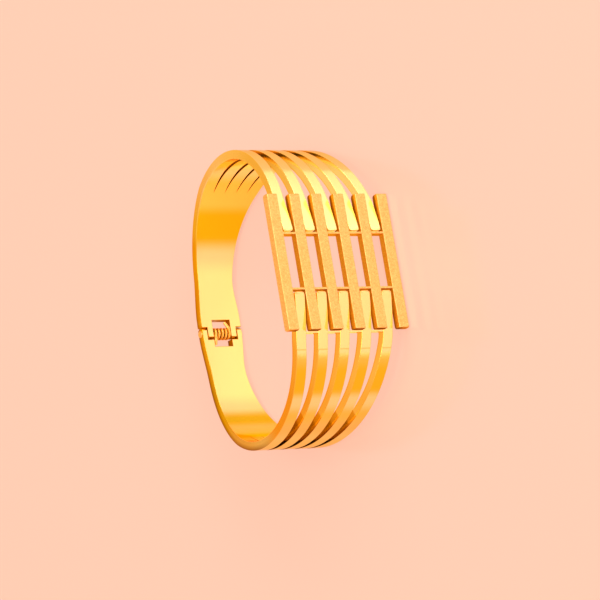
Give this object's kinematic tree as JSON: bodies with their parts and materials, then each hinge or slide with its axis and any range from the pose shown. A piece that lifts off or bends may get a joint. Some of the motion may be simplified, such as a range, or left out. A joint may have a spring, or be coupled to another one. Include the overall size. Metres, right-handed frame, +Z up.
{
  "type": "hinged bangle",
  "caption": "Oval spring-hinged bangle whose two half bands fork into slim fingers that meet in a grille of flat parallel bars at the front.",
  "frame": {"origin": "the point where the wrist axis, the middle line of the oval opening, meets the floor", "axes": "+X along the bars towards the upper half, +Y from the grille towards the hinge, +Z up; the wrist axis leans from +Z towards +Y"},
  "size_m": [0.0624, 0.053, 0.0284],
  "materials": {
    "polished_gold": "polished gold plate on stainless steel",
    "satin_gold": "fine sandblasted gold plate",
    "pin_gold": "gold plate, slightly worn at the heads",
    "spring_wire": "gold plated spring wire"
  },
  "bodies": {
    "upper": {"upper_band": "polished_gold", "grille": "satin_gold", "hinge_pin": "pin_gold", "hinge_spring": "spring_wire"},
    "lower": {"lower_band": "polished_gold"}
  },
  "joints": [
    {"name": "hinge", "type": "hinge", "parent": "upper", "child": "lower", "pos_m": [-0.00068, 0.02526, 0.00505], "axis": [0, -0.1893, -0.9819], "range_deg": [0, 60], "stiffness_Nm_per_rad": 0.02, "springref_deg": -45.84, "deforming": ["hinge_spring"]}
  ]
}
